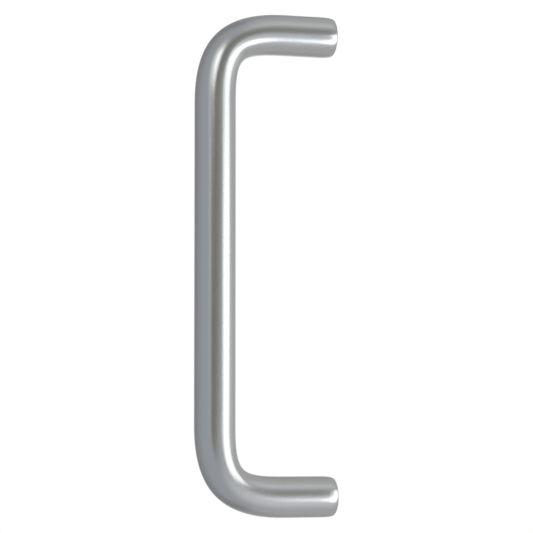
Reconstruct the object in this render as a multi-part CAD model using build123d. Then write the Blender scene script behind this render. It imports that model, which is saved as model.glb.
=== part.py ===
from build123d import *
import os
from math import pi, radians, sin, tan

# Bar: its diameter, the distance between its two legs, and how far it stands out from the door
bar_diameter = 20.0
fixing_centres = 225.0
projection = 70.0

# Bends: how far from the corner each starts, the pull of its curve, and the squeezed bar at its middle
bend_run = 34.0
bend_lead = 26.0
bend_thickness = 18.7
bend_stations = 12

# Feet: the eased outer edge, as its run along the leg and its drop, and the blind hole for an M8 thread
foot_edge_run = 5.5
foot_edge_drop = 1.0
tap_drill_diameter = 6.8
tap_drill_depth = 25.0
drill_point_angle = 118.0
countersink_diameter = 8.6
countersink_angle = 90.0

# The door face is the plane y = 0, with the handle on its -Y side and the grip upright
bar_radius = bar_diameter / 2
grip_y = bar_radius - projection
leg_z = fixing_centres / 2
bend_start_z = leg_z - bend_run
bend_end_y = grip_y + bend_run

# Centre line of the upper bend, turning from the grip's heading to the leg's
bend_line = Bezier(
    (0, grip_y, bend_start_z),
    (0, grip_y, bend_start_z + bend_lead),
    (0, bend_end_y - bend_lead, leg_z),
    (0, bend_end_y, leg_z),
)


def bend_section(along):
    """Bar section at a share of the bend's length, squeezed across the bend and round at both ends."""
    thickness = bar_diameter - (bar_diameter - bend_thickness) * sin(pi * along) ** 2
    place = Plane(origin=bend_line @ along, x_dir=(1, 0, 0), z_dir=bend_line % along)
    return place * Ellipse(bar_radius, thickness / 2)


# Straight grip, and the bend at its upper end
grip = Pos(0, grip_y, 0) * extrude(Circle(bar_radius), bend_start_z, both=True)
bend = loft([bend_section(station / bend_stations) for station in range(bend_stations + 1)])

# Straight leg from the bend to the foot, turned about its axis, with the edge eased along a quarter ellipse
foot = Plane(origin=(0, 0, leg_z), x_dir=(1, 0, 0), z_dir=(0, -1, 0))
face_radius = bar_radius - foot_edge_drop
leg_sides = Polyline(
    (bar_radius, foot_edge_run),
    (bar_radius, -bend_end_y),
    (0, -bend_end_y),
    (0, 0),
    (face_radius, 0),
)
leg_edge = EllipticalCenterArc(
    (face_radius, foot_edge_run), foot_edge_drop, foot_edge_run, start_angle=270, arc_size=90
)
leg = foot * revolve(Plane.XZ * make_face(leg_sides + leg_edge), Axis.Z)

# Drilled hole: countersunk mouth, straight wall and drill point, turned about the leg's axis
drill_radius = tap_drill_diameter / 2
countersink_radius = countersink_diameter / 2
countersink_depth = (countersink_radius - drill_radius) / tan(radians(countersink_angle / 2))
drill_point_depth = drill_radius / tan(radians(drill_point_angle / 2))
hole_outline = Polyline(
    (0, 0),
    (countersink_radius, 0),
    (drill_radius, countersink_depth),
    (drill_radius, tap_drill_depth),
    (0, tap_drill_depth + drill_point_depth),
    close=True,
)
hole = foot * revolve(Plane.XZ * make_face(hole_outline), Axis.Z)

upper_end = bend + leg - hole
pull_handle = grip + upper_end + mirror(upper_end, about=Plane.XY)

os.makedirs("parts", exist_ok=True)
export_step(pull_handle, "parts/pull_handle.step")
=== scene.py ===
"""Satin aluminium door pull: one round bar, bent twice and tapped at both feet."""
from math import atan2, cos, pi, radians, sin, tan

import bpy
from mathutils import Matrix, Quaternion, Vector
from mathutils.geometry import interpolate_bezier


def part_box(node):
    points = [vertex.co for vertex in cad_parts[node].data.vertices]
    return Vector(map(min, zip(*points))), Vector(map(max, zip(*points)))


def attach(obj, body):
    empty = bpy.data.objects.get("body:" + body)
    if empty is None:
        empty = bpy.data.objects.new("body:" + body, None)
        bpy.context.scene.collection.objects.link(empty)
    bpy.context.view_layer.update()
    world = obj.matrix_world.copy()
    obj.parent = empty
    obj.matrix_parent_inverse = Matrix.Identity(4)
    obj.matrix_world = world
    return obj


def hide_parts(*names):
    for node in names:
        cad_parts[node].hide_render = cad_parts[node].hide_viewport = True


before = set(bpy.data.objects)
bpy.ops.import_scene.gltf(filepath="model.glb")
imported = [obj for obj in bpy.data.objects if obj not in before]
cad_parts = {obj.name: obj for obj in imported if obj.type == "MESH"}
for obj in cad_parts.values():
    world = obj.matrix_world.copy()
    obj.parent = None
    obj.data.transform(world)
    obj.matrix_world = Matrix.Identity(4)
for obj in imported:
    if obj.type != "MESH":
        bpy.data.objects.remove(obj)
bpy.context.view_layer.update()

# Bar, in metres: its radius, and the lines of the grip and the legs, read from the frame
bar_low, bar_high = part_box("pull_handle")
BAR_RADIUS = bar_high.x
GRIP_Y = bar_low.y + BAR_RADIUS
LEG_Z = bar_high.z - BAR_RADIUS

# Bends: how far from the corner each starts, the pull of its curve, and the squeezed bar at its middle
BEND_RUN = 0.034
BEND_LEAD = 0.026
BEND_THICKNESS = 0.0187
BEND_START_Z = LEG_Z - BEND_RUN
BEND_END_Y = GRIP_Y + BEND_RUN

# Feet: the eased edge, as its run along the leg and its drop, and the drilled hole
FOOT_EDGE_RUN = 0.0055
FOOT_EDGE_DROP = 0.0010
HOLE_RADIUS = 0.0034
HOLE_DEPTH = 0.025
DRILL_POINT_ANGLE = radians(118)
DRILL_POINT_DEPTH = HOLE_RADIUS / tan(DRILL_POINT_ANGLE / 2)

# Mouth of the hole, countersunk at 45 degrees
MOUTH_RADIUS = 0.0043
MOUTH_DEPTH = MOUTH_RADIUS - HOLE_RADIUS

# Thread: its outer radius, pitch and turns, the lean of its flanks, and the flat along its outside
THREAD_RADIUS = 0.0040
THREAD_PITCH = 0.00125
THREAD_TURNS = 17
THREAD_FLANK_LEAN = radians(30)
THREAD_FLAT = THREAD_PITCH / 8

# Cutters: how far the drill stands out of the foot, and how far the tap reaches into the open hole
DRILL_OVERHANG = 0.0005
TAP_OVERLAP = 0.0004

# Facets: round the bar and its holes, round the thread, along the grip, a bend and a foot's edge
SIDES = 96
THREAD_SIDES = 48
GRIP_STEPS = 6
BEND_STEPS = 28
POINTS_PER_BEND_STEP = 20
FOOT_EDGE_STEPS = 18
SMOOTH_ANGLE = radians(32)

# Rings on the straight of a leg
LEG_RINGS_Y = (-0.018, -0.010)

# Points nearer than this count as one
NEAR = 1e-6


# Modelling helpers

def start_piece(name):
    """Opens a new piece at the origin for editing, alone in the selection."""
    bpy.ops.object.select_all(action="DESELECT")
    bpy.ops.object.add(type="MESH", enter_editmode=True, location=(0, 0, 0))
    piece = bpy.context.object
    piece.name = piece.data.name = name
    return piece


def open_piece():
    bpy.ops.object.mode_set(mode="EDIT")


def close_piece():
    bpy.ops.object.mode_set(mode="OBJECT")


def select_where(piece, wanted):
    """Selects the points of the open piece whose place passes the test."""
    bpy.ops.mesh.select_mode(type="VERT")
    bpy.ops.mesh.select_all(action="DESELECT")
    close_piece()
    for point in piece.data.vertices:
        point.select = wanted(point.co)
    open_piece()


def draw_out(offset):
    """Extrudes the selection by an offset."""
    bpy.ops.mesh.extrude_region_move(TRANSFORM_OT_translate={"value": offset})


def resize(scale, centre=(0, 0, 0)):
    bpy.ops.transform.resize(value=scale, center_override=centre)


def tip_over(angle):
    """Turns the selection about the X axis, from standing along Z to lying along Y at a right angle."""
    bpy.ops.transform.rotate(value=angle, orient_axis="X", center_override=(0, 0, 0))


def face_outwards():
    """Selects the whole open piece and turns its faces outwards."""
    bpy.ops.mesh.select_all(action="SELECT")
    bpy.ops.mesh.normals_make_consistent(inside=False)


def apply_modifier(piece, kind, **settings):
    """Gives the piece, selected alone, a modifier and applies it."""
    bpy.ops.object.select_all(action="DESELECT")
    piece.select_set(True)
    bpy.context.view_layer.objects.active = piece
    modifier = piece.modifiers.new(kind.title(), kind)
    for key, value in settings.items():
        setattr(modifier, key, value)
    bpy.ops.object.modifier_apply(modifier=modifier.name)


# Bar: section rings set along the centre line and bridged, then mirrored to the lower half

def bar_stations():
    """Places, leans and thicknesses of the rings from the middle of the grip to the upper foot."""
    full = 2 * BAR_RADIUS
    line = interpolate_bezier(
        Vector((0, GRIP_Y, BEND_START_Z)),
        Vector((0, GRIP_Y, BEND_START_Z + BEND_LEAD)),
        Vector((0, BEND_END_Y - BEND_LEAD, LEG_Z)),
        Vector((0, BEND_END_Y, LEG_Z)),
        POINTS_PER_BEND_STEP * BEND_STEPS + 1,
    )
    runs = [0.0]
    for here, there in zip(line, line[1:]):
        runs.append(runs[-1] + (there - here).length)
    stations = [(GRIP_Y, BEND_START_Z * step / GRIP_STEPS, 0.0, full) for step in range(GRIP_STEPS + 1)]
    for step in range(1, BEND_STEPS):
        spot = POINTS_PER_BEND_STEP * step
        heading = line[spot + 1] - line[spot - 1]
        lean = Vector((0, 1)).angle_signed(heading.yz)
        thickness = full - (full - BEND_THICKNESS) * sin(pi * runs[spot] / runs[-1]) ** 2
        stations.append((line[spot].y, line[spot].z, lean, thickness))
    for y in (BEND_END_Y, *LEG_RINGS_Y, -FOOT_EDGE_RUN):
        stations.append((y, LEG_Z, radians(90), full))
    return stations


def bar_ring(y, z, lean, thickness):
    """Adds one section ring, squeezed in the bend's plane and leaned from the grip towards the leg."""
    bpy.ops.mesh.select_all(action="DESELECT")
    bpy.ops.mesh.primitive_circle_add(vertices=SIDES, radius=BAR_RADIUS, location=(0, 0, 0))
    resize((1, thickness / BAR_RADIUS / 2, 1))
    tip_over(lean)
    bpy.ops.transform.translate(value=(0, y, z))


def ease_foot_edge():
    """Draws the open end out to the door face along a quarter ellipse, turning by even steps."""
    run, drop = 0.0, 0.0
    for step in range(1, FOOT_EDGE_STEPS + 1):
        slope = step / FOOT_EDGE_STEPS * pi / 2
        angle = atan2(FOOT_EDGE_RUN * sin(slope), FOOT_EDGE_DROP * cos(slope))
        next_run, next_drop = FOOT_EDGE_RUN * sin(angle), FOOT_EDGE_DROP * (1 - cos(angle))
        draw_out((0, next_run - run, 0))
        narrower = (BAR_RADIUS - next_drop) / (BAR_RADIUS - drop)
        resize((narrower, 1, narrower), centre=(0, 0, LEG_Z))
        run, drop = next_run, next_drop


def make_bar():
    """The bent bar, with both feet drilled and tapped."""
    bar = start_piece("pull_bar")
    for station in bar_stations():
        bar_ring(*station)
    bpy.ops.mesh.select_all(action="SELECT")
    bpy.ops.mesh.bridge_edge_loops()
    select_where(bar, lambda co: co.y > -FOOT_EDGE_RUN - NEAR)
    ease_foot_edge()
    bpy.ops.mesh.edge_face_add()
    close_piece()
    apply_modifier(bar, "MIRROR", use_axis=(False, False, True), use_clip=True)
    for foot_z in (LEG_Z, -LEG_Z):
        cut_foot(bar, foot_z)
    close_cracks()
    bpy.ops.object.shade_smooth_by_angle(angle=SMOOTH_ANGLE)
    return bar


# Feet: a drill with a countersink opens each hole and a helical tap cuts its thread

def to_foot(z):
    """Lays the open piece, made standing with its mouth at the origin, along a leg, and closes it."""
    bpy.ops.mesh.select_all(action="SELECT")
    tip_over(radians(90))
    bpy.ops.transform.translate(value=(0, 0, z))
    close_piece()


def make_drill(z):
    """A drill standing on its point, grown ring by ring to past the countersunk mouth."""
    drill = start_piece("drill")
    bpy.ops.mesh.primitive_circle_add(vertices=SIDES, radius=HOLE_RADIUS, location=(0, 0, -HOLE_DEPTH))
    draw_out((0, 0, -DRILL_POINT_DEPTH))
    bpy.ops.mesh.merge(type="CENTER")
    select_where(drill, lambda co: co.z > -HOLE_DEPTH - NEAR)
    draw_out((0, 0, HOLE_DEPTH - MOUTH_DEPTH))
    draw_out((0, 0, MOUTH_DEPTH + DRILL_OVERHANG))
    wider = (MOUTH_RADIUS + DRILL_OVERHANG) / HOLE_RADIUS
    resize((wider, wider, 1), centre=(0, 0, DRILL_OVERHANG))
    bpy.ops.mesh.edge_face_add()
    face_outwards()
    to_foot(z)
    return drill


def make_tap(z):
    """One tooth of the thread, run up in a helix from inside the hole to past its mouth."""
    inner = HOLE_RADIUS - TAP_OVERLAP
    middle = (inner + THREAD_RADIUS) / 2
    depth = THREAD_RADIUS - inner
    base = THREAD_FLAT + 2 * depth * tan(THREAD_FLANK_LEAN)
    tap = start_piece("tap")
    bpy.ops.mesh.primitive_plane_add(size=depth, location=(middle, 0, 0), rotation=(radians(90), 0, 0))
    select_where(tap, lambda co: co.x > middle)
    resize((1, 1, THREAD_FLAT / depth))
    select_where(tap, lambda co: co.x < middle)
    resize((1, 1, base / depth))
    bpy.ops.mesh.select_all(action="SELECT")
    bpy.ops.mesh.delete(type="ONLY_FACE")
    bpy.ops.mesh.select_all(action="SELECT")
    bpy.ops.transform.translate(value=(0, 0, THREAD_PITCH - THREAD_TURNS * THREAD_PITCH))
    close_piece()
    apply_modifier(tap, "SCREW", axis="Z", angle=2 * pi, screw_offset=THREAD_PITCH, iterations=THREAD_TURNS,
                   steps=THREAD_SIDES, render_steps=THREAD_SIDES, use_merge_vertices=False)

    # Close the four-sided ends of the helix
    open_piece()
    bpy.ops.mesh.select_mode(type="VERT")
    bpy.ops.mesh.select_all(action="DESELECT")
    bpy.ops.mesh.select_non_manifold()
    bpy.ops.mesh.fill_holes(sides=4)
    face_outwards()
    to_foot(z)
    return tap


def cut_foot(bar, z):
    """Drills and taps one foot."""
    for cutter in (make_drill(z), make_tap(z)):
        apply_modifier(bar, "BOOLEAN", operation="DIFFERENCE", solver="EXACT", object=cutter)
        bpy.data.objects.remove(cutter)


def close_cracks():
    """Merges the points that the cuts leave a hair apart, and dissolves the faces of no area there."""
    open_piece()
    bpy.ops.mesh.select_all(action="SELECT")
    bpy.ops.mesh.remove_doubles(threshold=NEAR)
    bpy.ops.mesh.dissolve_degenerate(threshold=NEAR)
    close_piece()


# Finishes: shader sums are written as plain arithmetic

class Amount:
    """A value in a shader, so that sums on it add their own nodes."""

    def __init__(self, finish, socket):
        self.finish, self.socket = finish, socket

    def work(self, operation, first, second):
        return self.finish.node("ShaderNodeMath", {"operation": operation}, {0: first, 1: second})

    def __add__(self, other):
        return self.work("ADD", self, other)

    def __radd__(self, other):
        return self.work("ADD", other, self)

    def __sub__(self, other):
        return self.work("SUBTRACT", self, other)

    def __rsub__(self, other):
        return self.work("SUBTRACT", other, self)

    def __mul__(self, other):
        return self.work("MULTIPLY", self, other)

    def __rmul__(self, other):
        return self.work("MULTIPLY", other, self)

    def __pow__(self, other):
        return self.work("POWER", self, other)

    def __abs__(self):
        return self.work("ABSOLUTE", self, 0.0)


class Finish:
    """A material's or the world's node tree."""

    def __init__(self, owner):
        owner.use_nodes = True
        self.tree = owner.node_tree
        self.tree.nodes.clear()

    def node(self, kind, settings=None, sockets=None, out=0):
        """Adds one node, with its settings and then its sockets' values or links, and gives its outputs."""
        made = self.tree.nodes.new(kind)
        for key, value in (settings or {}).items():
            setattr(made, key, value)
        for key, value in (sockets or {}).items():
            if isinstance(value, Amount):
                self.tree.links.new(value.socket, made.inputs[key])
            else:
                made.inputs[key].default_value = value
        if isinstance(out, tuple):
            return [Amount(self, made.outputs[key]) for key in out]
        return Amount(self, made.outputs[out]) if made.outputs else None

    def between(self, value, low, high):
        """Share that goes smoothly from 0 to 1 as the value goes from low to high."""
        ends = {"Value": value, "From Min": low, "From Max": high}
        return self.node("ShaderNodeMapRange", {"interpolation_type": "SMOOTHSTEP"}, ends)

    def mixed(self, share, first, second):
        """Colour that goes from the first to the second as the share goes from 0 to 1."""
        return self.node("ShaderNodeMix", {"data_type": "RGBA"}, {0: share, 6: first, 7: second}, out=2)

    def noise(self, place, scale, detail):
        """Cloudy value between 0 and 1, in patches of about 1 / scale metres."""
        return self.node("ShaderNodeTexNoise", {}, {"Vector": place, "Scale": scale, "Detail": detail})


# Metal: the two tones of its satin, the grooves turned into a foot's face, and the bare cut hole
SATIN_DEEP = (0.60, 0.612, 0.625, 1)
SATIN_PALE = (0.64, 0.648, 0.655, 1)
TURNED_GROOVE = (0.47, 0.48, 0.49, 1)
BARE_CUT = (0.72, 0.72, 0.71, 1)

# Borders of the finishes, in metres: the turned face's depth, a place past the hole, and their soft edge
FACE_SKIN = 0.0001
PAST_HOLE_Y = -HOLE_DEPTH - 2 * DRILL_POINT_DEPTH
FINISH_EDGE = 0.0003


def satin_aluminium():
    """Satin anodised metal with a fine even etch, a turned face on each foot, and a bare cut hole."""
    material = bpy.data.materials.new("satin_aluminium")
    finish = Finish(material)
    place = finish.node("ShaderNodeTexCoord", out="Object")
    x, y, z = finish.node("ShaderNodeSeparateXYZ", {}, {"Vector": place}, out=("X", "Y", "Z"))
    radius = (x ** 2 + (abs(z) - LEG_Z) ** 2) ** 0.5
    face = finish.between(y, -FACE_SKIN - FINISH_EDGE, -FACE_SKIN)
    hole = finish.between(radius, MOUTH_RADIUS + FINISH_EDGE, MOUTH_RADIUS)
    hole = hole * finish.between(y, PAST_HOLE_Y - FINISH_EDGE, PAST_HOLE_Y)

    etch = finish.noise(place, scale=2600, detail=3)
    grain = finish.noise(place, scale=1000, detail=1)
    cloud = finish.noise(place, scale=90, detail=2)
    rings = finish.node(
        "ShaderNodeTexNoise", {"noise_dimensions": "1D"}, {"W": radius, "Scale": 2200, "Detail": 2})
    grooves = face * finish.between(rings, 0.3, 0.8)

    colour = finish.mixed(cloud * 0.6 + etch * 0.4, SATIN_DEEP, SATIN_PALE)
    colour = finish.mixed(grooves, colour, TURNED_GROOVE)
    colour = finish.mixed(hole, colour, BARE_CUT)
    roughness = 0.195 + 0.03 * cloud + 0.02 * grain + 0.012 * etch
    roughness = roughness + face * (0.06 + 0.12 * rings) + hole * 0.08
    height = etch * 0.6 + grain * 4.0 + face * rings * 5.0
    relief = finish.node("ShaderNodeBump", {}, {"Height": height, "Strength": 0.10, "Distance": 0.00004})
    surface = finish.node("ShaderNodeBsdfPrincipled", {}, {
        "Base Color": colour, "Metallic": 1.0, "Roughness": roughness, "Normal": relief})
    finish.node("ShaderNodeOutputMaterial", {}, {"Surface": surface})
    return material


# Camera, in degrees: its turn from the handle's side to the front of the grip, and how far it looks up
CAMERA_TURN = 18.745
CAMERA_TILT = 3.823

# Camera, in metres: its distance from the grip's middle, and its shift to the picture's right and down
CAMERA_AWAY = 1.200
CAMERA_ASIDE = 0.02484
CAMERA_DROP = 0.00147

# Camera, in millimetres: its lens and the width of its sensor
CAMERA_LENS = 168.152
SENSOR_WIDTH = 36.0

# Room: its walls, two pale patches on the right, a slit of light, a dark screen and the backdrop
LEFT_WALL = (0.30, 0.305, 0.315, 1)
FRONT_WALL = (0.44, 0.465, 0.485, 1)
RIGHT_WALL = (0.525, 0.535, 0.52, 1)
BACK_WALL = (0.42, 0.42, 0.42, 1)
HIGH_PATCH = (0.725, 0.73, 0.74, 1)
LOW_PATCH = (0.75, 0.755, 0.775, 1)
LIGHT_SLIT = (0.62, 0.65, 0.66, 1)
DARK_SCREEN = (0.215, 0.21, 0.165, 1)
BACKDROP = (1, 1, 1, 1)

# Floor, in metres: a disc below the handle that fades out towards its rim
FLOOR_MIDDLE = Vector((0, -0.03, -0.25))
FLOOR_RADIUS = 1.15
FLOOR_SIDES = 64
FADE_START = 0.45
FADE_END = 1.10
FLOOR_PAINT = (0.9, 0.9, 0.9, 1)

# Lamps: the point that the soft lights face, and the lamp over the floor, in metres and watts
LIT_MIDDLE = Vector((0, -0.05, 0))
OVERHEAD_PLACE = Vector((0.2, -0.3, 1.9))
OVERHEAD_SIZE = 0.4
OVERHEAD_POWER = 22.0


# Studio: directions are degrees turned from the camera to the picture's right, and degrees up

def studio_direction(turn, up):
    t, lon, lat = radians(CAMERA_TURN), radians(turn), radians(up)
    right = Vector((sin(t), cos(t), 0))
    towards = Vector((cos(t), -sin(t), 0))
    return cos(lat) * (sin(lon) * right + cos(lon) * towards) + sin(lat) * Vector((0, 0, 1))


def studio_world():
    """A grey room, dim on the left, with a dark screen round the camera and a white backdrop."""
    world = bpy.data.worlds.new("studio")
    bpy.context.scene.world = world
    room = Finish(world)
    way = room.node("ShaderNodeTexCoord", out="Generated")

    def along(direction):
        ways = {0: way, 1: direction}
        return room.node("ShaderNodeVectorMath", {"operation": "DOT_PRODUCT"}, ways, out="Value")

    def degrees(operation, *values):
        return room.node("ShaderNodeMath", {"operation": operation}, dict(enumerate(values))) * (180 / pi)

    turn = degrees("ARCTAN2", along(studio_direction(90, 0)), along(studio_direction(0, 0)))
    rise = degrees("ARCSINE", along((0, 0, 1)))

    def patch(middle_turn, middle_rise, reach):
        """Soft round patch: 1 in its middle, 0 at its reach in degrees."""
        away = degrees("ARCCOSINE", along(studio_direction(middle_turn, middle_rise)))
        return room.between(away, reach, 0)

    def oval(middle_turn, middle_rise, half_width, half_height):
        """Soft oval patch: 1 in its middle, 0 at its rim."""
        across = (turn - middle_turn) * (1 / half_width)
        above = (rise - middle_rise) * (1 / half_height)
        return room.between((across ** 2 + above ** 2) ** 0.5, 1, 0)

    # Walls, each shading into the next, and the pale patches on them
    colour = room.mixed(room.between(turn, -150, -60), LEFT_WALL, FRONT_WALL)
    colour = room.mixed(room.between(turn, 0, 100), colour, RIGHT_WALL)
    colour = room.mixed(room.between(abs(turn), 145, 180), colour, BACK_WALL)
    colour = room.mixed(patch(59.5, 51, reach=36), colour, HIGH_PATCH)
    colour = room.mixed(patch(40.5, -30, reach=51), colour, LOW_PATCH)

    # Upright slit of light to the left of the camera
    slit_sides = room.between(abs(turn + 25), 11, 0)
    slit_foot = room.between(rise, -3, 8)
    slit_top = room.between(rise, 32, 12)
    colour = room.mixed(slit_sides * slit_foot * slit_top, colour, LIGHT_SLIT)

    # Dark screen round the camera, with leaning edges and a soft top
    screen_left = room.between(turn + 0.5 * rise, -21, -15)
    screen_right = room.between(turn - 1.2 * rise, 67, -13)
    screen_foot = room.between(rise - 0.2 * turn, -6.5, -5.5)
    screen_top = room.between(rise, 56, 15)
    colour = room.mixed(screen_left * screen_right * screen_foot * screen_top, colour, DARK_SCREEN)

    # Light spilled on the walls beside the soft lights
    spill = 2.24 * oval(49.6, 4.2, half_width=8.7, half_height=4.85)
    spill = spill + 0.89 * patch(-22.5, 28.5, reach=25) + 0.25 * patch(105, -9, reach=22.5)
    colour = room.node("ShaderNodeVectorMath", {"operation": "ADD"}, {0: colour, 1: spill})

    # White backdrop, seen by the camera all round and mirrored only behind the handle
    seen, mirrored, through = room.node(
        "ShaderNodeLightPath", out=("Is Camera Ray", "Is Glossy Ray", "Is Transmission Ray"))
    behind = patch(180, -5, reach=36)
    colour = room.mixed(seen + (mirrored + through) * behind, colour, BACKDROP)
    shine = room.node("ShaderNodeBackground", {}, {"Color": colour, "Strength": 1.0})
    room.node("ShaderNodeOutputWorld", {}, {"Surface": shine})


def stand(name, data, place, facing, lean=0.0):
    """Stands a lamp or the camera at its place, facing a direction and rolled by its lean in degrees."""
    thing = bpy.data.objects.new(name, data)
    bpy.context.collection.objects.link(thing)
    thing.location = place
    roll = Quaternion((0, 0, 1), radians(lean))
    thing.rotation_euler = (facing.to_track_quat("-Z", "Y") @ roll).to_euler()
    return thing


def softbox(name, turn, up, away, half_width, half_height, glow, lean=0.0, tint=(1, 1, 1)):
    """An oval soft light that faces the handle: its half sizes in degrees, its glow as brightness."""
    lamp = bpy.data.lights.new(name, "AREA")
    lamp.shape = "ELLIPSE"
    lamp.size = 2 * away * tan(radians(half_width))
    lamp.size_y = 2 * away * tan(radians(half_height))
    area = pi * lamp.size * lamp.size_y / 4
    lamp.energy = glow * pi * area
    lamp.color = tint
    direction = studio_direction(turn, up)
    stood = stand(name, lamp, LIT_MIDDLE + away * direction, -direction, lean)
    stood.visible_camera = False


def overhead_lamp():
    """Lights the floor, so that it holds the handle's soft shadow, and stays out of the metal."""
    lamp = bpy.data.lights.new("overhead", "AREA")
    lamp.shape = "DISK"
    lamp.size = OVERHEAD_SIZE
    lamp.energy = OVERHEAD_POWER
    stood = stand("overhead", lamp, OVERHEAD_PLACE, FLOOR_MIDDLE - OVERHEAD_PLACE)
    stood.visible_camera = False
    stood.visible_glossy = False


def floor():
    """A pale disc that holds the handle's shadow, and lets the light from below through."""
    slab = start_piece("floor")
    bpy.ops.mesh.primitive_circle_add(
        vertices=FLOOR_SIDES, radius=FLOOR_RADIUS, fill_type="NGON", location=FLOOR_MIDDLE)
    close_piece()
    material = bpy.data.materials.new("pale_floor")
    finish = Finish(material)
    place = finish.node("ShaderNodeTexCoord", out="Object")
    far = finish.node("ShaderNodeVectorMath", {"operation": "LENGTH"}, {0: place}, out="Value")
    paint = finish.node("ShaderNodeBsdfDiffuse", {}, {"Color": FLOOR_PAINT})
    clear = finish.node("ShaderNodeBsdfTransparent")
    fade = finish.between(far, FADE_START, FADE_END)
    surface = finish.node("ShaderNodeMixShader", {}, {0: fade, 1: paint, 2: clear})
    finish.node("ShaderNodeOutputMaterial", {}, {"Surface": surface})
    slab.data.materials.append(material)
    slab.visible_glossy = False
    slab.visible_shadow = False


def camera():
    """Stands beside the handle, a little towards the front of the grip, and looks up at it a little."""
    lens = bpy.data.cameras.new("camera")
    lens.sensor_width = SENSOR_WIDTH
    lens.lens = CAMERA_LENS
    forward = -studio_direction(0, -CAMERA_TILT)
    right = studio_direction(90, 0)
    down = forward.cross(right)
    place = Vector((0, GRIP_Y, 0)) + CAMERA_ASIDE * right + CAMERA_DROP * down - CAMERA_AWAY * forward
    bpy.context.scene.camera = stand("camera", lens, place, forward)


# The handle, with its finish
bar = make_bar()
bar.data.materials.clear()
bar.data.materials.append(satin_aluminium())
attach(bar, "root")
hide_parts("pull_handle")

# The studio round it
studio_world()
softbox("umbrella", turn=-10.5, up=29.5, away=0.575, half_width=10.4, half_height=12.5, glow=1.05)
softbox("window", turn=71.0, up=2.8, away=0.625, half_width=19.2, half_height=20.0, glow=1.19, lean=11.0)
softbox("bounce", turn=56.0, up=-20.0, away=0.770, half_width=12.4, half_height=12.4, glow=1.80,
        tint=(0.91, 0.975, 1.0))
floor()
overhead_lamp()
camera()
bpy.context.scene.view_settings.view_transform = "Standard"
